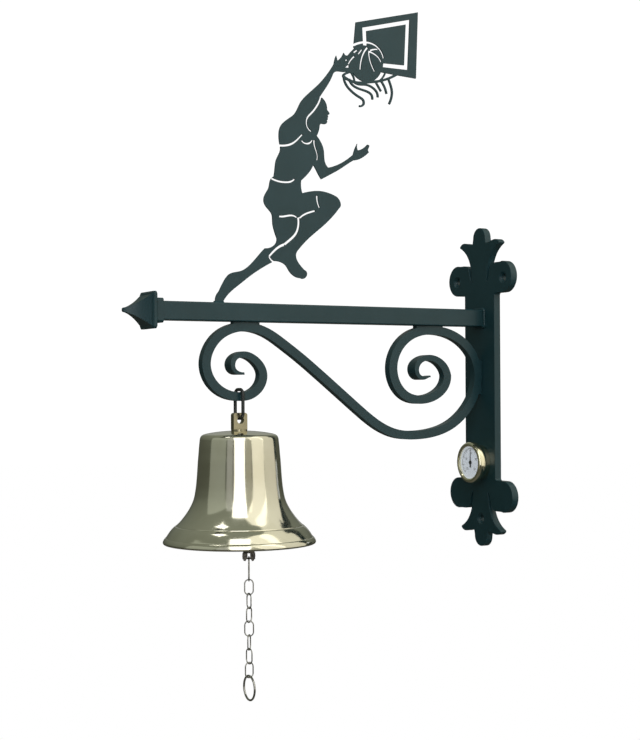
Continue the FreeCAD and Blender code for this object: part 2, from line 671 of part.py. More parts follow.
# ---------------------------------------------------------------- clapper
def make_tail(top):
    """Round tail: straight down from the ball, two equal bends sideways, straight into the fork."""
    low = bend_top - bend_drop
    shift = chain_x - bell_x
    r = (shift ** 2 + bend_drop ** 2) / (4.0 * shift)
    turn = math.degrees(2.0 * math.atan(shift / bend_drop))
    disc = Part.Face(Part.Wire(Part.makeCircle(tail_r, V(bell_x, 0, bend_top), V(0, 0, 1))))
    upper = disc.revolve(V(bell_x + r, 0, bend_top), V(0, -1, 0), turn)
    disc = Part.Face(Part.Wire(Part.makeCircle(tail_r, V(chain_x, 0, low), V(0, 0, 1))))
    lower = disc.revolve(V(chain_x - r, 0, low), V(0, -1, 0), turn)
    straight_top = Part.makeCylinder(tail_r, top - bend_top, V(bell_x, 0, bend_top), V(0, 0, 1))
    straight_low = Part.makeCylinder(tail_r, low - fork_top, V(chain_x, 0, fork_top), V(0, 0, 1))
    return straight_top.fuse([upper, lower, straight_low]).removeSplitter()


def make_clapper():
    """Clapper: eyed forged rod, strike ball and the offset tail that reaches below the mouth."""
    eye_high = hanger_eye_z - hanger_eye_r + clapper_wire_r + 0.1
    eye_low = eye_high - 9.6
    eye = wire_loop(4.4, eye_low, eye_high, 3.2, clapper_wire_r, V(bell_x, 0, 0), 90.0)
    ball_top = clapper_ball_z + clapper_ball_r
    neck = Part.makeCone(2.9, 2.2, 3.4, V(bell_x, 0, eye_low - 2.6), V(0, 0, -1))
    collar = Part.makeCylinder(2.9, 2.6, V(bell_x, 0, eye_low - 2.6), V(0, 0, 1))
    rod = Part.makeCylinder(2.2, eye_low - 2.7 - ball_top + 1.5, V(bell_x, 0, ball_top - 1.5), V(0, 0, 1))
    keep("clapper_rod", rod.fuse([neck, collar, eye]).removeSplitter())
    ball = Part.makeSphere(clapper_ball_r, V(bell_x + clapper_ball_shift, 0, clapper_ball_z))
    socket_top = Part.makeCylinder(2.25, 6.0, V(bell_x, 0, ball_top - 1.55), V(0, 0, 1))
    tail_top = clapper_ball_z - clapper_ball_r + 1.5
    socket_low = Part.makeCylinder(2.25, 6.0, V(bell_x, 0, tail_top + 0.05), V(0, 0, -1))
    keep("clapper_ball", ball.cut([socket_top, socket_low]))
    keep("clapper_tail", make_tail(tail_top))


def make_fork():
    """Two-lobed fork at the foot of the tail, with the cross pin for the chain."""
    lobes = []
    base = Part.makeCylinder(5.0, 3.0, V(0, 0, fork_top - 3.0), V(0, 0, 1))
    for side in (-1, 1):
        profile = [
            V(side * 1.2, -2.4, -142.6), V(side * 5.4, -2.4, -142.6), V(side * 5.6, -2.4, -146.0),
            V(side * 4.4, -2.4, -149.2), V(side * 2.8, -2.4, -149.6), V(side * 1.2, -2.4, -146.6),
        ]
        face = Part.Face(Part.makePolygon(profile + [profile[0]]))
        lobes.append(face.extrude(V(0, 4.8, 0)))
    fork = base.fuse(lobes).removeSplitter()
    pin_hole = Part.makeCylinder(pin_r + 0.02, 16.0, V(-8.0, 0, pin_z), V(1, 0, 0))
    fork = fork.cut(pin_hole)
    pin = Part.makeCylinder(pin_r, 11.0, V(-5.5, 0, pin_z), V(1, 0, 0))
    for piece, name in ((fork, "clapper_fork"), (pin, "clapper_fork_pin")):
        piece.rotate(V(0, 0, 0), V(0, 0, 1), view_turn)
        piece.translate(V(chain_x, 0, 0))
        keep(name, piece)


# ---------------------------------------------------------------- chain
def link_spans():
    """Lowest and highest wire centres of each link, top link first."""
    top = pin_z + pin_r + link_wire_r + link_gap
    inner = link_len - 2.0 * link_wire_r
    spans = [(-166.85, top)]
    while len(spans) < len(link_turns):
        high = spans[-1][0] + 2.0 * link_wire_r + link_gap
        spans.append((high - inner, high))
    return spans


def make_chain():
    """Eight welded steel links and the pull ring, each hanging in the one above."""
    corner = link_w / 2.0 - link_wire_r
    spans = link_spans()
    for i, (low, high) in enumerate(spans):
        turn = view_turn + link_turns[i]
        link = wire_loop(corner, low, high, corner, link_wire_r, V(chain_x, 0, 0), turn)
        keep("chain_link_%02d" % (i + 1), link)
    top = spans[-1][0] + link_wire_r + pull_wire_r + link_gap
    centre = V(0, 0, top - pull_r)
    disc = Part.Face(Part.Wire(Part.makeCircle(pull_wire_r, centre + V(pull_r, 0, 0), V(0, 0, 1))))
    ring = disc.revolve(centre, V(0, 1, 0), 356.0)
    ring.rotate(centre, V(0, 1, 0), 92.0)
    ring.rotate(V(0, 0, 0), V(0, 0, 1), view_turn + pull_turn)
    ring.translate(V(chain_x, 0, 0))
    keep("pull_ring", ring)


# ---------------------------------------------------------------- thermometer
def spun(points, z, curved=()):
    """Solid of revolution about the gauge's axis from radius and X pairs."""
    edges = []
    for i in range(len(points)):
        a = points[i]
        b = points[(i + 1) % len(points)]
        start = V(a[1], 0, z + a[0])
        end = V(b[1], 0, z + b[0])
        bulge = dict(curved).get(i)
        if bulge is None:
            edges.append(line(start, end))
        else:
            edges.append(Part.Arc(start, V(bulge[1], 0, z + bulge[0]), end).toShape())
    return Part.Face(Part.Wire(edges)).revolve(V(0, 0, z), V(1, 0, 0), 360.0)


def make_gauge_shells():
    """Case, rounded bezel, glass and printed dial of the thermometer."""
    rear = plate_front
    rim = gauge_dial_x + 1.1
    z = gauge_z
    inner = gauge_case_r - 1.0
    floor = rear - 1.2
    case = [(2.6, rear), (gauge_case_r, rear), (gauge_case_r, rim), (inner, rim), (inner, floor), (2.6, floor)]
    keep("gauge_case", spun(case, z))
    bore = gauge_case_r + 0.02
    seat = gauge_case_r + 0.1
    bezel = [
        (bore, -12.4), (18.0, -12.4), (gauge_r, -15.4), (gauge_r - 0.4, -19.6), (17.6, gauge_front),
        (16.2, gauge_front), (15.1, -20.2), (seat, -20.2), (seat, rim), (bore, rim),
    ]
    keep("gauge_bezel", spun(bezel, z, ((1, (19.3, -13.4)), (3, (18.9, -20.9)), (5, (15.3, -20.9)))))
    keep("gauge_glass", Part.makeCylinder(gauge_case_r, 0.8, V(-20.1, 0, z), V(1, 0, 0)))
    dial = Part.makeCylinder(gauge_case_r, 0.6, V(rim - 0.65, 0, z), V(1, 0, 0))
    keep("gauge_dial", dial.cut(Part.makeCylinder(1.0, 4.0, V(rim - 2.0, 0, z), V(1, 0, 0))))


def make_gauge_movement():
    """Bimetal spiral, spindle, hub and pointer of the thermometer."""
    z = gauge_z
    turns = 3.0
    count = 36
    outer = []
    inner = []
    x = plate_front - 2.4
    for i in range(count + 1):
        a = 2.0 * math.pi * turns * i / count
        r = 3.0 + 2.2 * a / (2.0 * math.pi)
        outer.append(V(x, (r + 0.25) * math.cos(a), z + (r + 0.25) * math.sin(a)))
        inner.append(V(x, (r - 0.25) * math.cos(a), z + (r - 0.25) * math.sin(a)))
    back = list(reversed(inner))
    edges = [run(outer), line(outer[-1], back[0]), run(back), line(back[-1], outer[0])]
    coil = Part.Face(Part.Wire(edges)).extrude(V(-4.4, 0, 0))
    keep("gauge_bimetal_coil", coil)
    face_x = gauge_dial_x - 0.4
    spindle = Part.makeCylinder(0.9, 9.2, V(face_x - 0.3, 0, z), V(1, 0, 0))
    keep("gauge_spindle", spindle)
    needle = [
        V(face_x, -0.75, z), V(face_x, -0.22, z + 12.2), V(face_x, 0.22, z + 12.2), V(face_x, 0.75, z),
        V(face_x, 1.1, z - 4.6), V(face_x, -1.1, z - 4.6),
    ]
    pointer = Part.Face(Part.makePolygon(needle + [needle[0]])).extrude(V(0.35, 0, 0))
    hub = Part.makeCylinder(1.9, 0.8, V(face_x - 0.2, 0, z), V(1, 0, 0))
    bore = Part.makeCylinder(0.92, 4.0, V(face_x - 2.0, 0, z), V(1, 0, 0))
    keep("gauge_pointer", pointer.fuse(hub).cut(bore).removeSplitter())


def make_gauge_fixing():
    """Stud and nut that hold the thermometer case to the backplate from behind."""
    z = gauge_z
    head = Part.makeCylinder(4.2, 1.2, V(plate_front - 2.4, 0, z), V(1, 0, 0))
    shank = Part.makeCylinder(2.0, plate_t + 0.6, V(plate_front - 1.3, 0, z), V(1, 0, 0))
    keep("gauge_stud", head.fuse(shank).removeSplitter())
    points = []
    for i in range(7):
        a = math.radians(60.0 * i)
        points.append(V(-3.3, 4.0 * math.cos(a), z + 4.0 * math.sin(a)))
    nut = Part.Face(Part.makePolygon(points)).extrude(V(2.4, 0, 0))
    keep("gauge_stud_nut", nut.cut(Part.makeCylinder(2.02, 6.0, V(-5.0, 0, z), V(1, 0, 0))))


def main():
    """Build every piece and write one STEP file for each."""
    make_backplate()
    make_arm()
    make_arm_weld()
    make_finial()
    make_scroll()
    make_scroll_welds()
    make_figure()
    make_figure_weld()
    make_ring()
    make_shell()
    make_hanger()
    make_crown_fasteners()
    make_clapper()
    make_fork()
    make_chain()
    make_gauge_shells()
    make_gauge_movement()
    make_gauge_fixing()
    os.makedirs("parts", exist_ok=True)
    for name in sorted(parts):
        parts[name].exportStep("parts/%s.step" % name)


main()
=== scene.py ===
import json
import math

import bmesh
import bpy
from mathutils import Matrix, Vector


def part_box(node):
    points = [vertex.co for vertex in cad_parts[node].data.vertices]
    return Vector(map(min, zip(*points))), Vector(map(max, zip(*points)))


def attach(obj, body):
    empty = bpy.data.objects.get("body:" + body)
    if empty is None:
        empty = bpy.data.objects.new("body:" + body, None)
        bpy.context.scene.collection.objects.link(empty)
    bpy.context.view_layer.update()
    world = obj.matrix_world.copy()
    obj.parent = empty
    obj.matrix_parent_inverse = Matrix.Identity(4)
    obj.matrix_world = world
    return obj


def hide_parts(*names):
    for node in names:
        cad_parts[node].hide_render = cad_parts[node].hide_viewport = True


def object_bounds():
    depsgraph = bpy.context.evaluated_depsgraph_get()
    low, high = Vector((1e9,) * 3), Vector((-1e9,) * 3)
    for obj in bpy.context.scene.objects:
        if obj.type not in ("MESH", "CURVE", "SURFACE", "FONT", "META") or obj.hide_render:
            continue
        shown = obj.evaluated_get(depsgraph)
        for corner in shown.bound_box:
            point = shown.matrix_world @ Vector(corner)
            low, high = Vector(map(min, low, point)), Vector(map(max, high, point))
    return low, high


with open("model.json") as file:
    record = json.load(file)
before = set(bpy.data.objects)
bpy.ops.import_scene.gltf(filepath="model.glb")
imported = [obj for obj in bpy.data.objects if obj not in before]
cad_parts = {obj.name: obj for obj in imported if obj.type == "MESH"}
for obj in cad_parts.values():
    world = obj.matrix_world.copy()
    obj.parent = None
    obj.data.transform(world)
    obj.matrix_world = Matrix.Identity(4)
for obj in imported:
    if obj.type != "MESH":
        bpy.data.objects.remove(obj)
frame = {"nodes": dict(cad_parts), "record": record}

cad_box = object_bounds()
bodies_of = frame["record"]["behaviour"]["bodies"]
body_of = {node: body for body, nodes in bodies_of.items() for node in nodes}
slot_of = {part["node"]: part["material_slot"] for part in frame["record"]["subparts"]}

MM = 0.001
AXIS_Z = Vector((0.0, 0.0, 1.0))

# ---- mesh clean-up: how near points join, and how flat a seam between two faces is to be dissolved
JOIN_DISTANCE = 0.002 * MM
FLAT_DEGREES = 0.4
# ---- wire is drawn this share of the CAD wire's radius, so that it stays inside the CAD box
WIRE_SHARE = 0.985
# ---- sockets of a colour Mix node
MIX_FACTOR, MIX_A, MIX_B, MIX_RESULT = 0, 6, 7, 2
# ---- spans in each rounded corner of a wire loop or weld
CORNER_SPANS = 8

# ---- the camera's place and angles, in metres and radians, and its lens in millimetres
CAMERA_PLACE = Vector((-0.79356, -1.099632, -0.001461))
CAMERA_TURN = -0.508592
CAMERA_PITCH = 0.0134405
CAMERA_ROLL = -0.0045574
CAMERA_LENS = 68.85

# ---- places read from the frame
shell_low, shell_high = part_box("bell_shell")
bell_x = (shell_low.x + shell_high.x) / 2.0
bezel_low, bezel_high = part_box("gauge_bezel")
gauge_z = (bezel_low.z + bezel_high.z) / 2.0
dial_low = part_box("gauge_dial")[0]
arm_low, arm_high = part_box("arm_tube")
arm_z = (arm_low.z + arm_high.z) / 2.0


# ================================================================ node helpers
def add(tree, kind, **values):
    """A shader node with its unlinked inputs set; an input's spaces are written as underscores."""
    made = tree.nodes.new(kind)
    for key, value in values.items():
        made.inputs[key.replace("_", " ")].default_value = value
    return made


def ramp(tree, source, stops):
    """A colour ramp fed by source; stops are (place, colour)."""
    made = tree.nodes.new("ShaderNodeValToRGB")
    bar = made.color_ramp
    while len(bar.elements) < len(stops):
        bar.elements.new(0.5)
    for element, (place, colour) in zip(bar.elements, stops):
        element.position = place
        element.color = (*colour, 1.0)
    tree.links.new(source, made.inputs["Fac"])
    return made


def spread(tree, source, low, high):
    """Noise about its middle mapped to the range low to high."""
    made = add(tree, "ShaderNodeMapRange", From_Min=0.3, From_Max=0.7, To_Min=low, To_Max=high)
    tree.links.new(source, made.inputs["Value"])
    return made.outputs["Result"]


def grain(tree, place, scale, detail=3.0, rough=0.55, stretch=None):
    """Noise at a scale in waves per metre, stretched along the axes if asked."""
    source = place
    if stretch:
        moved = tree.nodes.new("ShaderNodeMapping")
        moved.inputs["Scale"].default_value = stretch
        tree.links.new(place, moved.inputs["Vector"])
        source = moved.outputs["Vector"]
    made = add(tree, "ShaderNodeTexNoise", Scale=scale, Detail=detail, Roughness=rough)
    tree.links.new(source, made.inputs["Vector"])
    return made.outputs["Fac"]


def bump(tree, height, depth, strength, under=None):
    """Bump of a depth in metres, over another bump if given."""
    made = add(tree, "ShaderNodeBump", Strength=strength, Distance=depth)
    tree.links.new(height, made.inputs["Height"])
    if under:
        tree.links.new(under, made.inputs["Normal"])
    return made.outputs["Normal"]


def start(name, **values):
    """New material: its node tree, its Principled shader and object coordinates."""
    made = bpy.data.materials.new(name)
    made.use_nodes = True
    tree = made.node_tree
    tree.nodes.clear()
    shader = add(tree, "ShaderNodeBsdfPrincipled", **values)
    out = tree.nodes.new("ShaderNodeOutputMaterial")
    tree.links.new(shader.outputs["BSDF"], out.inputs["Surface"])
    place = tree.nodes.new("ShaderNodeTexCoord").outputs["Object"]
    return made, tree, shader, place


# ================================================================ materials
def paint_material():
    """Satin green-grey powder coat: cloudy tone, fine orange peel and a few dust specks."""
    made, tree, shader, place = start("green_grey_powder_coat", Specular_IOR_Level=0.42)
    cloud = grain(tree, place, 22.0, 4.0)
    tone = ramp(tree, cloud, ((0.30, (0.0085, 0.0400, 0.0500)), (0.70, (0.0125, 0.0485, 0.0610))))
    speck = grain(tree, place, 2600.0, 1.0)
    dust = ramp(tree, speck, ((0.74, (0.0, 0.0, 0.0)), (0.80, (1.0, 1.0, 1.0))))
    blend = tree.nodes.new("ShaderNodeMix")
    blend.data_type = "RGBA"
    blend.inputs[MIX_B].default_value = (0.055, 0.085, 0.088, 1.0)
    tree.links.new(dust.outputs["Color"], blend.inputs[MIX_FACTOR])
    tree.links.new(tone.outputs["Color"], blend.inputs[MIX_A])
    tree.links.new(blend.outputs[MIX_RESULT], shader.inputs["Base Color"])
    tree.links.new(spread(tree, grain(tree, place, 90.0), 0.30, 0.42), shader.inputs["Roughness"])
    peel = bump(tree, grain(tree, place, 520.0, 2.0), 0.00005, 0.35)
    wave = bump(tree, grain(tree, place, 45.0, 2.0), 0.0001, 0.10, peel)
    tree.links.new(wave, shader.inputs["Normal"])
    return made


def brass_material(name, light, dark, low, high, scratch):
    """Polished brass: two close tints, a hazed polish and fine turning marks round the axis."""
    made, tree, shader, place = start(name, Metallic=1.0)
    tone = ramp(tree, grain(tree, place, 34.0, 5.0), ((0.28, dark), (0.62, light)))
    tree.links.new(tone.outputs["Color"], shader.inputs["Base Color"])
    haze = grain(tree, place, 55.0, 4.0)
    tree.links.new(spread(tree, haze, low, high), shader.inputs["Roughness"])
    lines = grain(tree, place, 60.0, 2.0, 0.6, (1.0, 1.0, 38.0))
    pits = grain(tree, place, 900.0, 2.0)
    fine = bump(tree, lines, 0.000012, scratch)
    tree.links.new(bump(tree, pits, 0.000006, scratch, fine), shader.inputs["Normal"])
    return made


def steel_material(name, light, dark, low, high, depth, metal=1.0):
    """Steel with a stained tone, drawn streaks along Z and small pits."""
    made, tree, shader, place = start(name, Metallic=metal)
    tone = ramp(tree, grain(tree, place, 260.0, 4.0), ((0.30, dark), (0.66, light)))
    tree.links.new(tone.outputs["Color"], shader.inputs["Base Color"])
    tree.links.new(spread(tree, grain(tree, place, 420.0), low, high), shader.inputs["Roughness"])
    streak = bump(tree, grain(tree, place, 900.0, 2.0, 0.6, (1.0, 1.0, 0.15)), depth, 0.5)
    pitted = bump(tree, grain(tree, place, 340.0), depth * 2.0, 0.4, streak)
    tree.links.new(pitted, shader.inputs["Normal"])
    return made


def print_material(name, light, dark, rough, glow=0.0):
    """Matt printed or lacquered surface with a faint mottle; glow is emission, painted light that offsets
    the dim lamps.
    """
    made, tree, shader, place = start(name, Specular_IOR_Level=0.3)
    tone = ramp(tree, grain(tree, place, 180.0, 5.0), ((0.30, dark), (0.70, light)))
    tree.links.new(tone.outputs["Color"], shader.inputs["Base Color"])
    # painted light: the surface's own tone is emitted as glow, so it shines though it is no lamp
    if glow:
        tree.links.new(tone.outputs["Color"], shader.inputs["Emission Color"])
        shader.inputs["Emission Strength"].default_value = glow
    sheen = spread(tree, grain(tree, place, 500.0), rough, rough + 0.12)
    tree.links.new(sheen, shader.inputs["Roughness"])
    tree.links.new(bump(tree, grain(tree, place, 1500.0), 0.00001, 0.3), shader.inputs["Normal"])
    return made


def glass_material():
    """Thin clear glass: light passes, and a sharp reflection with a few smears lies over it."""
    made = bpy.data.materials.new("clear_glass")
    made.use_nodes = True
    tree = made.node_tree
    tree.nodes.clear()
    place = tree.nodes.new("ShaderNodeTexCoord").outputs["Object"]
    clear = add(tree, "ShaderNodeBsdfTransparent", Color=(0.97, 0.98, 0.985, 1.0))
    mirror = add(tree, "ShaderNodeBsdfGlossy", Color=(1.0, 1.0, 1.0, 1.0))
    smear = spread(tree, grain(tree, place, 140.0, 4.0), 0.02, 0.09)
    tree.links.new(smear, mirror.inputs["Roughness"])
    edge = add(tree, "ShaderNodeLayerWeight", Blend=0.12)
    mix = tree.nodes.new("ShaderNodeMixShader")
    tree.links.new(edge.outputs["Facing"], mix.inputs["Fac"])
    tree.links.new(clear.outputs["BSDF"], mix.inputs[1])
    tree.links.new(mirror.outputs["BSDF"], mix.inputs[2])
    out = tree.nodes.new("ShaderNodeOutputMaterial")
    tree.links.new(mix.outputs["Shader"], out.inputs["Surface"])
    return made


materials = {
    "green_grey_paint": paint_material(),
    "bell_brass": brass_material(
        "pale_bell_brass", (0.79, 0.76, 0.63), (0.71, 0.68, 0.54), 0.09, 0.14, 0.25),
    "gauge_brass": brass_material(
        "yellow_gauge_brass", (0.84, 0.80, 0.60), (0.74, 0.69, 0.48), 0.10, 0.20, 0.35),
    "gauge_glass": glass_material(),
    # the dial glows with emission 0.62: painted light that brightens it beyond what the lamps give
    "dial_white": print_material(
        "dial_print_white_painted_glow", (0.70, 0.73, 0.79), (0.64, 0.67, 0.73), 0.45, 0.62),
    "pointer_dark": print_material(
        "pointer_lacquer", (0.035, 0.04, 0.05), (0.018, 0.02, 0.026), 0.35),
    "zinc_steel": steel_material(
        "zinc_plated_steel", (0.66, 0.67, 0.67), (0.50, 0.50, 0.49), 0.25, 0.42, 0.00001),
    "black_steel": steel_material(
        "blackened_steel_wire", (0.035, 0.040, 0.040), (0.018, 0.021, 0.021), 0.22, 0.36, 0.00001, 0.35),
    "dark_steel": steel_material(
        "dark_forged_steel", (0.16, 0.15, 0.13), (0.06, 0.055, 0.05), 0.30, 0.50, 0.00003, 0.8),
    "chain_steel": steel_material(
        "bright_chain_steel", (0.60, 0.60, 0.57), (0.34, 0.33, 0.30), 0.18, 0.34, 0.00001),
}
hanger_brass = brass_material(
    "dull_hanger_brass", (0.42, 0.39, 0.27), (0.30, 0.27, 0.18), 0.24, 0.36, 0.12)


# ================================================================ mesh helpers
def smooth_mesh(name, verts, faces):
    """Mesh from points and faces, with its normals outward and its faces smooth."""
    mesh = bpy.data.meshes.new(name)
    mesh.from_pydata([tuple(v) for v in verts], [], faces)
    work = bmesh.new()
    work.from_mesh(mesh)
    bmesh.ops.recalc_face_normals(work, faces=work.faces)
    work.to_mesh(mesh)
    work.free()
    mesh.polygons.foreach_set("use_smooth", [True] * len(mesh.polygons))
    return mesh


def place_piece(name, mesh, node, stands_for=(), material=None):
    """Puts a mesh in the scene on its CAD node's body, and hides the nodes that it stands for."""
    piece = bpy.data.objects.new(name, mesh)
    bpy.context.scene.collection.objects.link(piece)
    piece.data.materials.append(material or materials[slot_of[node]])
    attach(piece, body_of[node])
    if stands_for:
        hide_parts(*stands_for)
    return piece


def smooth_line(points, steps):
    """Catmull-Rom curve through 2-D points, with steps spans between each two."""
    ends = [points[0]] + list(points) + [points[-1]]
    line = []
    for i in range(1, len(ends) - 2):
        a, b, c, d = (Vector(p) for p in ends[i - 1:i + 3])
        for k in range(steps):
            t = k / steps
            line.append(0.5 * ((2 * b) + (c - a) * t + (2 * a - 5 * b + 4 * c - d) * t * t
                               + (3 * b - a - 3 * c + d) * t ** 3))
    line.append(Vector(points[-1]))
    return line


def lathe(name, profile, centre, axis, segments):
    """Closed profile of (radius, height) turned about an axis through centre."""
    side = Vector((0.0, 1.0, 0.0))
    other = axis.cross(side)
    verts = []
    for k in range(segments):
        angle = 2.0 * math.pi * k / segments
        out = side * math.cos(angle) + other * math.sin(angle)
        for r, h in profile:
            verts.append(centre + out * r + axis * h)
    count = len(profile)
    faces = []
    for k in range(segments):
        a = k * count
        b = (k + 1) % segments * count
        for i in range(count):
            j = (i + 1) % count
            faces.append((a + i, a + j, b + j, b + i))
    return smooth_mesh(name, verts, faces)


def sweep_round(name, path, normal, radius, sides):
    """Round section swept along a closed path, first point repeated last, in the plane with that normal."""
    path = path[:-1]
    total = len(path)
    verts = []
    for i, point in enumerate(path):
        along = (path[(i + 1) % total] - path[i - 1]).normalized()
        out = along.cross(normal).normalized()
        for k in range(sides):
            angle = 2.0 * math.pi * k / sides
            verts.append(point + out * (radius * math.cos(angle)) + normal * (radius * math.sin(angle)))
    faces = []
    for i in range(total):
        a = i * sides
        b = (i + 1) % total * sides
        for k in range(sides):
            n = (k + 1) % sides
            faces.append((a + k, a + n, b + n, b + k))
    return smooth_mesh(name, verts, faces)


def softened(node, width, segments=2, material=None, angle=28.0):
    """Copy of a CAD node with its seams joined and its sharp edges rounded over."""
    work = bmesh.new()
    work.from_mesh(frame["nodes"][node].data)
    bmesh.ops.remove_doubles(work, verts=work.verts, dist=JOIN_DISTANCE)
    bmesh.ops.dissolve_limit(
        work, angle_limit=math.radians(FLAT_DEGREES), verts=work.verts, edges=work.edges)
    mesh = bpy.data.meshes.new(node + "_soft")
    work.to_mesh(mesh)
    work.free()
    mesh.polygons.foreach_set("use_smooth", [True] * len(mesh.polygons))
    piece = place_piece(node + "_soft", mesh, node, (node,), material)
    rounding = piece.modifiers.new("rounded_edges", "BEVEL")
    rounding.width = width * MM
    rounding.segments = segments
    rounding.limit_method = "ANGLE"
    rounding.angle_limit = math.radians(angle)
    rounding.use_clamp_overlap = True
    level = piece.modifiers.new("level_faces", "WEIGHTED_NORMAL")
    level.mode = "FACE_AREA"
    level.weight = 90


# ================================================================ bracket
def make_bracket():
    """Backplate, arm, finial, scroll, figure and welds with their coated, slightly rounded edges."""
    softened("backplate", 0.55, 3)
    softened("arm_tube", 0.25, 2)
    softened("finial", 0.5, 2)
    softened("scroll_bar", 0.7, 3)
    softened("figure_sheet", 0.22, 2)
    softened("weld_left_volute", 0.6, 2)
    softened("weld_right_volute", 0.6, 2)
    softened("weld_scroll_to_plate", 0.6, 2)
    softened("figure_weld_beads", 0.3, 2)


def make_arm_weld():
    """Run of overlapping weld ripples round the root of the arm."""
    low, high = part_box("arm_weld_bead")
    half = (arm_high.z - arm_low.z) / 2.0 + 0.1 * MM
    reach = 0.6 * ((high.y - low.y) / 2.0 - half)
    front = high.x - 0.02 * MM
    depth = 0.6 * (high.x - low.x)
    corner = 1.6 * MM
    path = []
    for index, (sy, sz) in enumerate(((1, 1), (-1, 1), (-1, -1), (1, -1))):
        for k in range(CORNER_SPANS + 1):
            angle = math.radians(90.0 * index + 90.0 * k / CORNER_SPANS)
            out = Vector((0.0, math.cos(angle), math.sin(angle)))
            centre = Vector((0.0, sy * (half - corner), sz * (half - corner)))
            path.append((centre + out * corner, out))
    dense = []
    for i, (point, out) in enumerate(path):
        after, out_after = path[(i + 1) % len(path)]
        spans = max(1, int((after - point).length / (0.28 * MM)))
        for k in range(spans):
            share = k / spans
            dense.append((point.lerp(after, share), out.lerp(out_after, share).normalized()))
    pitch = 2.1 * MM
    length = 0.0
    rings = []
    for i, (point, out) in enumerate(dense):
        if i:
            length += (point - dense[i - 1][0]).length
        ripple = 0.86 + 0.14 * abs(math.sin(math.pi * length / pitch))
        ring = []
        for k in range(CORNER_SPANS + 1):
            a = math.radians(90.0 * k / CORNER_SPANS)
            lift = reach * ripple * math.cos(a) ** 0.8 if k < CORNER_SPANS else 0.0
            rise = depth * ripple * math.sin(a)
            ring.append(Vector((front - rise, point.y, point.z + arm_z)) + out * lift)
        ring.append(Vector((front, point.y, point.z + arm_z)))
        rings.append(ring)
    verts = [v for ring in rings for v in ring]
    count = len(rings[0])
    faces = []
    for i in range(len(rings)):
        a = i * count
        b = (i + 1) % len(rings) * count
        for k in range(count):
            n = (k + 1) % count
            faces.append((a + k, a + n, b + n, b + k))
    mesh = smooth_mesh("arm_weld_ripples", verts, faces)
    place_piece("arm_weld_ripples", mesh, "arm_weld_bead", ("arm_weld_bead",))


# ================================================================ bell
# outside and inside of the turned shell in millimetres, radius and height, between its corners
SHELL_CROWN = ((3.06, -37.02), (9.0, -37.1), (16.0, -37.6), (23.0, -38.45), (29.0, -39.55))
SHELL_SHOULDER = ((29.0, -39.55), (31.6, -40.5), (33.2, -42.0), (33.9, -44.0))
SHELL_WALL = (
    (33.9, -44.0), (34.5, -49.4), (35.05, -56.0), (35.6, -62.5), (36.15, -71.0), (36.8, -79.5),
    (37.8, -88.1), (39.7, -96.7), (43.9, -105.3), (50.0, -113.6), (54.3, -118.0),
)
SHELL_FIRST_LINE = ((54.3, -118.0), (54.45, -118.35), (55.0, -118.5), (55.45, -118.62))
SHELL_BAND = ((55.45, -118.62), (58.0, -121.0), (60.6, -124.3), (63.0, -127.95))
SHELL_SECOND_LINE = ((63.0, -127.95), (63.15, -128.25), (63.5, -128.4), (63.85, -128.6))
SHELL_LIP = (
    (63.85, -128.6), (65.0, -130.1), (65.75, -131.8), (65.75, -132.8), (65.2, -133.55), (64.3, -133.85),
    (63.2, -133.7), (62.45, -133.3),
)
SHELL_INSIDE = (
    (62.45, -133.3), (59.05, -127.0), (52.65, -119.6), (46.45, -112.8), (40.65, -104.8), (36.75, -96.0),
    (34.85, -87.6), (33.85, -79.0), (32.65, -62.0), (31.65, -50.0), (30.9, -45.2), (28.0, -42.9),
    (21.0, -41.5), (12.0, -40.45), (3.06, -40.12),
)


def make_bell():
    """Turned shell of the bell with its flat crown, two raised lines and rolled lip."""
    profile = []
    runs = (
        (SHELL_CROWN, 5), (SHELL_SHOULDER, 5), (SHELL_WALL, 7), (SHELL_FIRST_LINE, 3), (SHELL_BAND, 5),
        (SHELL_SECOND_LINE, 3), (SHELL_LIP, 4), (SHELL_INSIDE, 5),
    )
    for points, steps in runs:
        profile += smooth_line(points, steps)[:-1]
    profile.append(Vector(SHELL_INSIDE[-1]))
    profile = [(p[0] * MM, p[1] * MM) for p in profile]
    mesh = lathe("bell_turned_shell", profile, Vector((bell_x, 0.0, 0.0)), AXIS_Z, 224)
    place_piece("bell_turned_shell", mesh, "bell_shell", ("bell_shell",))
    softened("bell_hanger", 0.45, 3, hanger_brass)
    softened("crown_washer", 0.2)
    softened("crown_nut", 0.35)


# ================================================================ loops of wire
def loop_path(half_w, low, high, corner, steps):
    """Rounded loop standing on edge in its own plane: width u, height z, closed."""
    points = []
    inner = half_w - corner
    spots = ((inner, high - corner, 0.0), (-inner, high - corner, 90.0))
    spots += ((-inner, low + corner, 180.0), (inner, low + corner, 270.0))
    for u, z, begin in spots:
        for k in range(steps + 1):
            a = math.radians(begin + 90.0 * k / steps)
            points.append(Vector((u + corner * math.cos(a), 0.0, z + corner * math.sin(a))))
    dense = []
    for i, point in enumerate(points):
        after = points[(i + 1) % len(points)]
        gap = (after - point).length
        if gap < 1e-7:
            continue
        spans = max(1, round(gap / (0.9 * MM)))
        dense += [point.lerp(after, k / spans) for k in range(spans)]
    dense.append(dense[0].copy())
    return dense


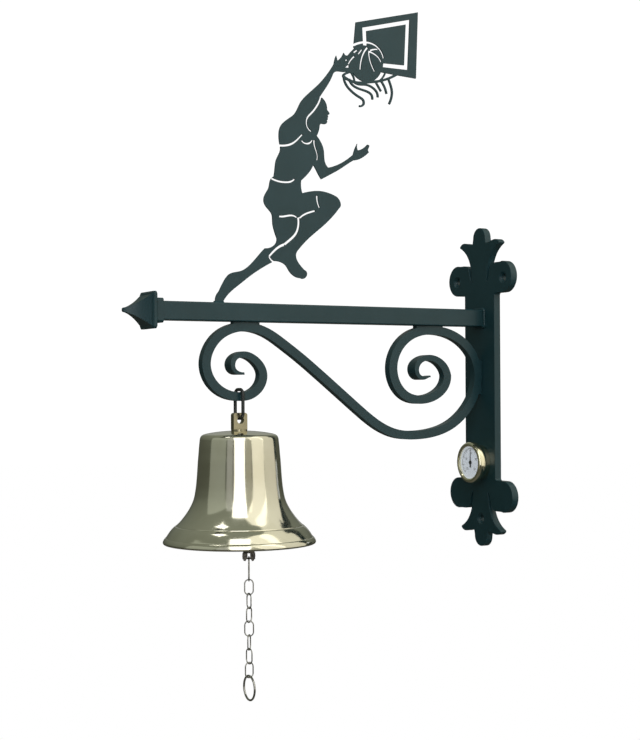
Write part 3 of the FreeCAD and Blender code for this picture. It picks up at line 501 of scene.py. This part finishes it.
def ring_like(node, name, wire, corner, sides):
    """Wire loop in the place of a CAD loop, at that loop's own turn about the vertical."""
    low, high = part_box(node)
    centre = Vector(((low.x + high.x) / 2.0, (low.y + high.y) / 2.0, 0.0))
    wide_x = (high.x - low.x) / 2.0 - wire
    wide_y = (high.y - low.y) / 2.0 - wire
    turn = math.atan2(wide_y, wide_x)
    source = frame["nodes"][node].data
    lean = sum((v.co.x - centre.x) * (v.co.y - centre.y) for v in source.vertices)
    if lean < 0.0:
        turn = -turn
    half = math.hypot(wide_x, wide_y)
    path = loop_path(half, low.z + wire, high.z - wire, min(corner, half), CORNER_SPANS)
    spin = Matrix.Rotation(turn, 3, "Z")
    path = [spin @ p + centre for p in path]
    normal = spin @ Vector((0.0, 1.0, 0.0))
    mesh = sweep_round(name, path, normal, wire * WIRE_SHARE, sides)
    place_piece(name, mesh, node, (node,))


def make_ring_and_chain():
    """Suspension ring, the eight chain links and the pull ring."""
    ring_like("suspension_ring", "suspension_ring_wire", 1.5 * MM, 5.2 * MM, 20)
    for i in range(8):
        node = "chain_link_%02d" % (i + 1)
        ring_like(node, node + "_wire", 0.55 * MM, 3.75 * MM, 14)
    softened("pull_ring", 0.1, 1, angle=60.0)


# ================================================================ clapper
def make_clapper():
    """Forged clapper with its rod, ball, bent tail, fork and cross pin."""
    softened("clapper_rod", 0.3, 2, angle=35.0)
    softened("clapper_ball", 0.3, 2, angle=40.0)
    softened("clapper_tail", 0.2, 1, angle=40.0)
    softened("clapper_fork", 0.5, 3)
    softened("clapper_fork_pin", 0.2, 2)


# ================================================================ thermometer
BEZEL_FACE = (
    (16.62, -12.45), (17.6, -12.42), (18.35, -12.8), (18.95, -13.7), (19.35, -14.9), (19.55, -16.2),
    (19.45, -17.7), (19.2, -19.2), (18.75, -20.3), (18.1, -21.0), (17.3, -21.27), (16.5, -21.25),
    (15.9, -20.95), (15.45, -20.5), (15.2, -20.22), (16.7, -20.18), (16.7, -17.25), (16.62, -17.2),
)


def make_bezel():
    """Spun brass bezel with a full rounded nose."""
    face = smooth_line(BEZEL_FACE[:15], 4)
    profile = [(p[0] * MM, p[1] * MM) for p in face]
    profile += [(r * MM, h * MM) for r, h in BEZEL_FACE[15:]]
    centre = Vector((0.0, 0.0, gauge_z))
    mesh = lathe("gauge_bezel_ring", profile, centre, Vector((1.0, 0.0, 0.0)), 128)
    place_piece("gauge_bezel_ring", mesh, "gauge_bezel", ("gauge_bezel",))


def dial_point(radius, angle, lift):
    """A place on the dial's face: angle clockwise from the top, seen from the front."""
    a = math.radians(angle)
    return Vector((dial_low.x - lift, -radius * math.sin(a), gauge_z + radius * math.cos(a)))


def tick(work, angle, inner, outer, width):
    """One printed graduation as a thin raised bar."""
    a = math.radians(angle)
    side = Vector((0.0, -math.cos(a), -math.sin(a))) * (width / 2.0)
    corners = [dial_point(inner, angle, 0.0), dial_point(outer, angle, 0.0)]
    lift = Vector((-0.04 * MM, 0.0, 0.0))
    base = [corners[0] - side, corners[1] - side, corners[1] + side, corners[0] + side]
    low = [work.verts.new(p) for p in base]
    high = [work.verts.new(p + lift) for p in base]
    work.faces.new(high)
    work.faces.new(list(reversed(low)))
    for i in range(4):
        n = (i + 1) % 4
        work.faces.new((low[i], low[n], high[n], high[i]))


def number_mesh(text, size):
    """A number as a flat mesh in its own XY plane, centred."""
    curve = bpy.data.curves.new("number", "FONT")
    curve.body = text
    curve.size = size
    curve.extrude = 0.02 * MM
    curve.align_x = "CENTER"
    curve.align_y = "CENTER"
    holder = bpy.data.objects.new("number", curve)
    bpy.context.scene.collection.objects.link(holder)
    bpy.context.view_layer.update()
    graph = bpy.context.evaluated_depsgraph_get()
    mesh = bpy.data.meshes.new_from_object(holder.evaluated_get(graph))
    bpy.data.objects.remove(holder)
    return mesh


def make_dial_print():
    """Graduations, their circle and the numbers of a plain temperature scale."""
    work = bmesh.new()
    sweep = 135.0
    divisions = 40
    arcs = 90
    for i in range(divisions + 1):
        angle = -sweep + 2.0 * sweep * i / divisions
        major = i % 5 == 0
        tick(work, angle, (11.0 if major else 11.9) * MM, 13.3 * MM, (0.42 if major else 0.22) * MM)
    for i in range(arcs):
        angle = -sweep + 2.0 * sweep * (i + 0.5) / arcs
        tick(work, angle, 13.3 * MM, 13.55 * MM, 13.4 * MM * math.radians(2.0 * sweep / arcs))
    facing = Matrix(((0.0, 0.0, -1.0), (-1.0, 0.0, 0.0), (0.0, 1.0, 0.0))).to_4x4()
    for i in range(5):
        angle = -sweep + 2.0 * sweep * i / 4
        mesh = number_mesh(str(-30 + 20 * i), 3.3 * MM)
        where = dial_point(8.6 * MM, angle, 0.02 * MM)
        mesh.transform(Matrix.Translation(where) @ facing)
        work.from_mesh(mesh)
        bpy.data.meshes.remove(mesh)
    mesh = bpy.data.meshes.new("dial_graduations")
    work.to_mesh(mesh)
    work.free()
    ink = print_material("scale_ink", (0.07, 0.08, 0.10), (0.04, 0.045, 0.06), 0.5)
    place_piece("dial_graduations", mesh, "gauge_dial", (), ink)


def make_gauge():
    """Thermometer: case, bezel, glass, dial with its print, pointer, hub and fixing."""
    make_bezel()
    softened("gauge_case", 0.2)
    softened("gauge_dial", 0.08, 1)
    softened("gauge_glass", 0.15, 2)
    softened("gauge_bimetal_coil", 0.05, 1, angle=40.0)
    softened("gauge_stud", 0.3)
    softened("gauge_stud_nut", 0.3)
    softened("gauge_pointer", 0.06, 1)
    softened("gauge_spindle", 0.1, 1)
    make_dial_print()


# ================================================================ studio
def studio_direction(azimuth, elevation):
    """Unit vector from the object; azimuth 0 is towards the camera, positive to the picture's right."""
    a = math.radians(azimuth)
    e = math.radians(elevation)
    near = Vector((math.sin(CAMERA_TURN), -math.cos(CAMERA_TURN), 0.0))
    right = Vector((math.cos(CAMERA_TURN), math.sin(CAMERA_TURN), 0.0))
    return (near * math.cos(a) + right * math.sin(a)) * math.cos(e) + AXIS_Z * math.sin(e)


def panel(name, azimuth, elevation, distance, width, height, radiance, colour):
    """Rectangular softbox facing the bell, given the brightness of its face."""
    light = bpy.data.lights.new(name, "AREA")
    light.shape = "RECTANGLE"
    light.size = width
    light.size_y = height
    light.color = colour
    light.energy = radiance * math.pi * width * height
    holder = bpy.data.objects.new(name, light)
    bpy.context.scene.collection.objects.link(holder)
    target = Vector((bell_x, 0.0, -0.03))
    out = studio_direction(azimuth, elevation)
    holder.location = target + out * distance
    holder.visible_camera = False
    holder.rotation_mode = "QUATERNION"
    holder.rotation_quaternion = out.to_track_quat("Z", "Y")


def plain_white(name, strength):
    """Evenly lit white for the floor and the backdrop."""
    made = bpy.data.materials.new(name)
    made.use_nodes = True
    tree = made.node_tree
    tree.nodes.clear()
    glow = add(tree, "ShaderNodeEmission", Color=(1.0, 1.0, 1.0, 1.0), Strength=strength)
    out = tree.nodes.new("ShaderNodeOutputMaterial")
    tree.links.new(glow.outputs["Emission"], out.inputs["Surface"])
    return made


def make_stage():
    """Pale floor well below the bell and a pale dome far round it."""
    work = bmesh.new()
    bmesh.ops.create_circle(work, cap_ends=True, radius=9.0, segments=64)
    mesh = bpy.data.meshes.new("floor")
    work.to_mesh(mesh)
    work.free()
    floor = bpy.data.objects.new("floor", mesh)
    floor.location = (0.0, 0.0, cad_box[0].z - 0.25)
    floor.data.materials.append(plain_white("floor_white", 1.0))
    work = bmesh.new()
    bmesh.ops.create_uvsphere(work, u_segments=48, v_segments=24, radius=10.0)
    mesh = bpy.data.meshes.new("backdrop")
    work.to_mesh(mesh)
    work.free()
    dome = bpy.data.objects.new("backdrop", mesh)
    dome.data.materials.append(plain_white("backdrop_white", 1.05))
    for stage in (floor, dome):
        bpy.context.scene.collection.objects.link(stage)
        stage.visible_diffuse = False
        stage.visible_glossy = False
        stage.visible_transmission = False
        stage.visible_shadow = False


def make_world():
    """Dim studio room, darkest just below the horizon and lightest at the ceiling."""
    world = bpy.data.worlds.new("studio_room")
    bpy.context.scene.world = world
    world.use_nodes = True
    tree = world.node_tree
    tree.nodes.clear()
    place = tree.nodes.new("ShaderNodeTexCoord").outputs["Generated"]
    split = tree.nodes.new("ShaderNodeSeparateXYZ")
    tree.links.new(place, split.inputs["Vector"])
    height = add(tree, "ShaderNodeMapRange", From_Min=-1.0, From_Max=1.0, To_Min=0.0, To_Max=1.0)
    tree.links.new(split.outputs["Z"], height.inputs["Value"])
    room = ramp(tree, height.outputs["Result"], (
        (0.0, (0.11, 0.11, 0.095)), (0.45, (0.05, 0.052, 0.038)),
        (0.62, (0.15, 0.165, 0.135)), (1.0, (0.25, 0.27, 0.22)),
    ))
    back = tree.nodes.new("ShaderNodeBackground")
    tree.links.new(room.outputs["Color"], back.inputs["Color"])
    out = tree.nodes.new("ShaderNodeOutputWorld")
    tree.links.new(back.outputs["Background"], out.inputs["Surface"])


def make_lights():
    """Key strip, three warm panels to its right, two dim cards to its left, a rear card and an overhead."""
    panel("key_strip", 4.0, 26.0, 1.5, 0.80, 2.3, 1.9, (1.0, 0.99, 1.0))
    panel("warm_gap", 28.5, 20.0, 1.7, 0.52, 2.0, 0.30, (1.0, 0.93, 0.78))
    panel("right_fill", 57.0, 26.0, 1.3, 0.92, 2.3, 0.92, (1.0, 0.95, 0.84))
    panel("far_fill", 98.0, 26.0, 1.3, 1.16, 2.3, 0.62, (1.0, 0.95, 0.84))
    panel("front_card", -23.0, 18.0, 1.6, 0.46, 1.8, 0.26, (0.95, 0.95, 1.0))
    panel("left_card", -59.0, 14.0, 1.4, 1.30, 1.6, 0.20, (0.94, 1.0, 0.92))
    panel("rear_card", 180.0, 14.0, 1.6, 0.9, 1.4, 0.16, (1.0, 1.0, 1.0))
    panel("overhead", -68.0, 67.0, 1.0, 0.26, 0.20, 2.4, (1.0, 1.0, 0.97))


def make_camera():
    """Camera at the viewing angle of the reference."""
    data = bpy.data.cameras.new("camera")
    data.lens = CAMERA_LENS
    data.sensor_width = 36.0
    data.clip_start = 0.01
    data.clip_end = 100.0
    camera = bpy.data.objects.new("camera", data)
    bpy.context.scene.collection.objects.link(camera)
    turn = Matrix.Rotation(CAMERA_TURN, 4, "Z")
    pitch = Matrix.Rotation(math.pi / 2.0 + CAMERA_PITCH, 4, "X")
    roll = Matrix.Rotation(CAMERA_ROLL, 4, "Z")
    camera.matrix_world = Matrix.Translation(CAMERA_PLACE) @ (turn @ pitch @ roll)
    bpy.context.scene.camera = camera
    bpy.context.scene.view_settings.view_transform = "Standard"


make_bracket()
make_arm_weld()
make_bell()
make_ring_and_chain()
make_clapper()
make_gauge()
make_stage()
make_world()
make_lights()
make_camera()
